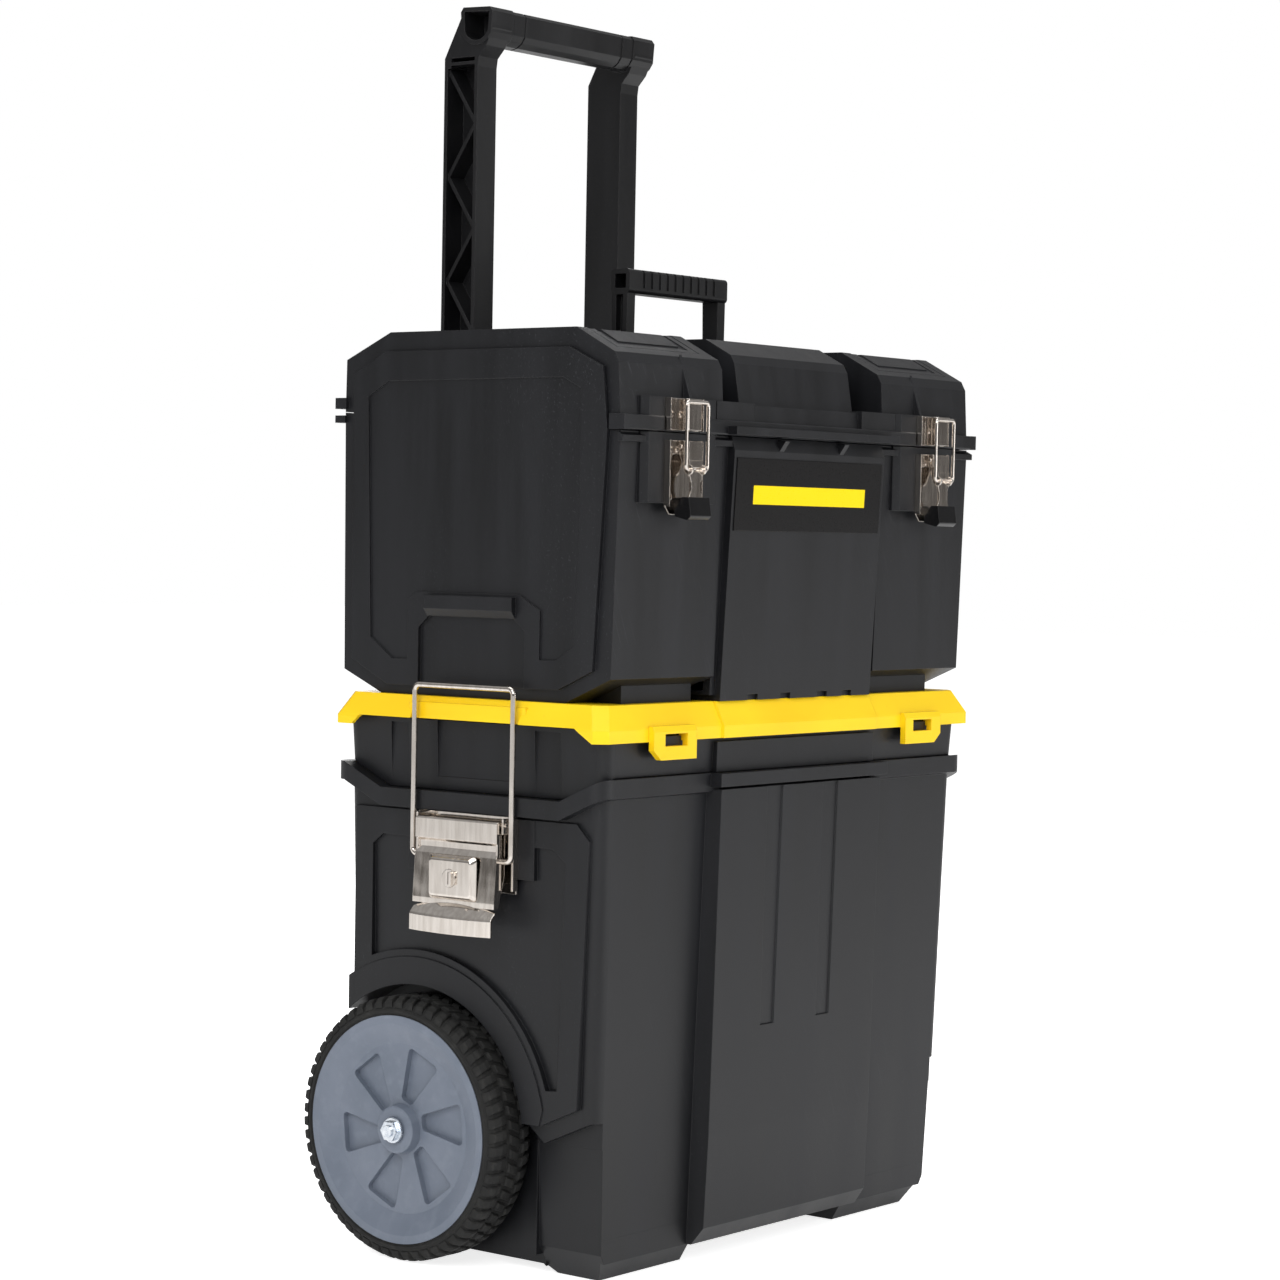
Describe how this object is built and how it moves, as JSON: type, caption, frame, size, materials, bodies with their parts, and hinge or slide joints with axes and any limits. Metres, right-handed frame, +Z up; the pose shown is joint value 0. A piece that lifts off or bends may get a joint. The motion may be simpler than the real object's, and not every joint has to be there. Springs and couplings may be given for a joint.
{
  "type": "rolling tool box",
  "caption": "Wheeled tool storage stack: deep bin, lift-out parts tray with a snap lid, and a latched tool box on top, pulled by a telescopic handle.",
  "frame": {"origin": "middle of the footprint, on the floor", "axes": "+Z up, +X to the right, the front with the latches faces -Y"},
  "size_m": [0.475, 0.2838, 0.8657],
  "materials": {
    "black_plastic": "fine moulded texture",
    "handle_plastic": "satin moulded",
    "tip_plastic": "gloss",
    "yellow_plastic": "satin moulded",
    "grey_plastic": "satin moulded",
    "tyre_rubber": "matte rubber",
    "nickel": "bright nickel plate",
    "zinc": "bright zinc plate",
    "label_film": "printed film"
  },
  "bodies": {
    "bin": {"lower_bin": "black_plastic", "handle_guides": "black_plastic", "axle_bolts": "zinc", "axle_washers": "zinc", "axle_nuts": "zinc", "lock_rivets": "nickel", "lock_pins": "nickel", "lock_plate_left": "nickel", "lock_plate_right": "nickel"},
    "wheel_left": {"tyre_left": "tyre_rubber", "hub_left": "grey_plastic"},
    "side_lever_left": {"lock_lever_left": "nickel", "key_plate_left": "nickel"},
    "side_bail_left": {"lock_bail_left": "nickel"},
    "key_left": {"key_barrel_left": "nickel"},
    "wheel_right": {"tyre_right": "tyre_rubber", "hub_right": "grey_plastic"},
    "side_lever_right": {"lock_lever_right": "nickel", "key_plate_right": "nickel"},
    "side_bail_right": {"lock_bail_right": "nickel"},
    "key_right": {"key_barrel_right": "nickel"},
    "pull_handle": {"handle_leg_left": "handle_plastic", "handle_leg_right": "handle_plastic", "handle_grip": "handle_plastic"},
    "tray": {"parts_tray": "black_plastic"},
    "tray_lid": {"yellow_lid": "yellow_plastic"},
    "tool_box": {"box_body": "black_plastic", "front_label": "label_film", "latch_plate_left": "nickel", "latch_plate_right": "nickel", "latch_rivets": "nickel", "latch_pins": "nickel", "hinge_pins": "zinc"},
    "tool_box_lid": {"box_lid": "black_plastic", "latch_keeper_left": "nickel", "latch_keeper_right": "nickel", "keeper_rivets": "nickel", "carry_pins": "black_plastic", "organizer_pins": "zinc"},
    "carry_handle": {"carry_handle": "handle_plastic"},
    "organizer_left": {"organizer_lid_left": "black_plastic"},
    "latch_left": {"latch_lever_left": "nickel", "latch_tip_left": "tip_plastic"},
    "link_left": {"latch_link_left": "nickel"},
    "organizer_right": {"organizer_lid_right": "black_plastic"},
    "latch_right": {"latch_lever_right": "nickel", "latch_tip_right": "tip_plastic"},
    "link_right": {"latch_link_right": "nickel"}
  },
  "joints": [
    {"name": "pull_handle_slide", "type": "slide", "parent": "bin", "child": "pull_handle", "axis": [0, 0, 1], "range_m": [-0.235, 0]},
    {"name": "tray_lift", "type": "slide", "parent": "bin", "child": "tray", "axis": [0, 0, 1], "range_m": [0, 0.12]},
    {"name": "tray_lid_lift", "type": "slide", "parent": "tray", "child": "tray_lid", "axis": [0, 0, 1], "range_m": [0, 0.06]},
    {"name": "tool_box_lift", "type": "slide", "parent": "tray_lid", "child": "tool_box", "axis": [0, 0, 1], "range_m": [0, 0.1]},
    {"name": "lid_open", "type": "hinge", "parent": "tool_box", "child": "tool_box_lid", "pos_m": [0, 0.1285, 0.576], "axis": [-1, 0, 0], "range_deg": [0, 60]},
    {"name": "carry_fold", "type": "hinge", "parent": "tool_box_lid", "child": "carry_handle", "pos_m": [0, 0.002, 0.611], "axis": [1, 0, 0], "range_deg": [0, 90]},
    {"name": "wheel_left_spin", "type": "hinge", "parent": "bin", "child": "wheel_left", "pos_m": [-0.209, 0.0455, 0.0901], "axis": [1, 0, 0], "continuous": true},
    {"name": "side_lever_left_open", "type": "hinge", "parent": "bin", "child": "side_lever_left", "pos_m": [-0.218, 0, 0.302], "axis": [0, 1, 0], "range_deg": [0, 90]},
    {"name": "side_bail_left_follow", "type": "hinge", "parent": "side_lever_left", "child": "side_bail_left", "pos_m": [-0.2185, 0, 0.278], "axis": [0, 1, 0], "range_deg": [-115, 0]},
    {"name": "key_left_turn", "type": "hinge", "parent": "side_lever_left", "child": "key_left", "pos_m": [-0.2245, -0.001, 0.265], "axis": [-1, 0, 0], "range_deg": [0, 90]},
    {"name": "organizer_left_open", "type": "hinge", "parent": "tool_box_lid", "child": "organizer_left", "pos_m": [-0.15, 0.058, 0.6261], "axis": [-1, 0, 0], "range_deg": [0, 100]},
    {"name": "latch_left_open", "type": "hinge", "parent": "tool_box", "child": "latch_left", "pos_m": [-0.1475, -0.1315, 0.553], "axis": [-1, 0, 0], "range_deg": [0, 95]},
    {"name": "link_left_follow", "type": "hinge", "parent": "latch_left", "child": "link_left", "pos_m": [-0.1475, -0.1376, 0.538], "axis": [-1, 0, 0], "range_deg": [-115, 0]},
    {"name": "wheel_right_spin", "type": "hinge", "parent": "bin", "child": "wheel_right", "pos_m": [0.209, 0.0455, 0.0901], "axis": [1, 0, 0], "continuous": true},
    {"name": "side_lever_right_open", "type": "hinge", "parent": "bin", "child": "side_lever_right", "pos_m": [0.218, 0, 0.302], "axis": [0, -1, 0], "range_deg": [0, 90]},
    {"name": "side_bail_right_follow", "type": "hinge", "parent": "side_lever_right", "child": "side_bail_right", "pos_m": [0.2185, 0, 0.278], "axis": [0, -1, 0], "range_deg": [-115, 0]},
    {"name": "key_right_turn", "type": "hinge", "parent": "side_lever_right", "child": "key_right", "pos_m": [0.2245, -0.001, 0.265], "axis": [1, 0, 0], "range_deg": [0, 90]},
    {"name": "organizer_right_open", "type": "hinge", "parent": "tool_box_lid", "child": "organizer_right", "pos_m": [0.15, 0.058, 0.6261], "axis": [-1, 0, 0], "range_deg": [0, 100]},
    {"name": "latch_right_open", "type": "hinge", "parent": "tool_box", "child": "latch_right", "pos_m": [0.1475, -0.1315, 0.553], "axis": [-1, 0, 0], "range_deg": [0, 95]},
    {"name": "link_right_follow", "type": "hinge", "parent": "latch_right", "child": "link_right", "pos_m": [0.1475, -0.1376, 0.538], "axis": [-1, 0, 0], "range_deg": [-115, 0]}
  ],
  "couplings": [
    {"joint": "side_bail_left_follow", "follows": "side_lever_left_open", "ratio": -1.25},
    {"joint": "link_left_follow", "follows": "latch_left_open", "ratio": -1.2},
    {"joint": "side_bail_right_follow", "follows": "side_lever_right_open", "ratio": -1.25},
    {"joint": "link_right_follow", "follows": "latch_right_open", "ratio": -1.2}
  ]
}
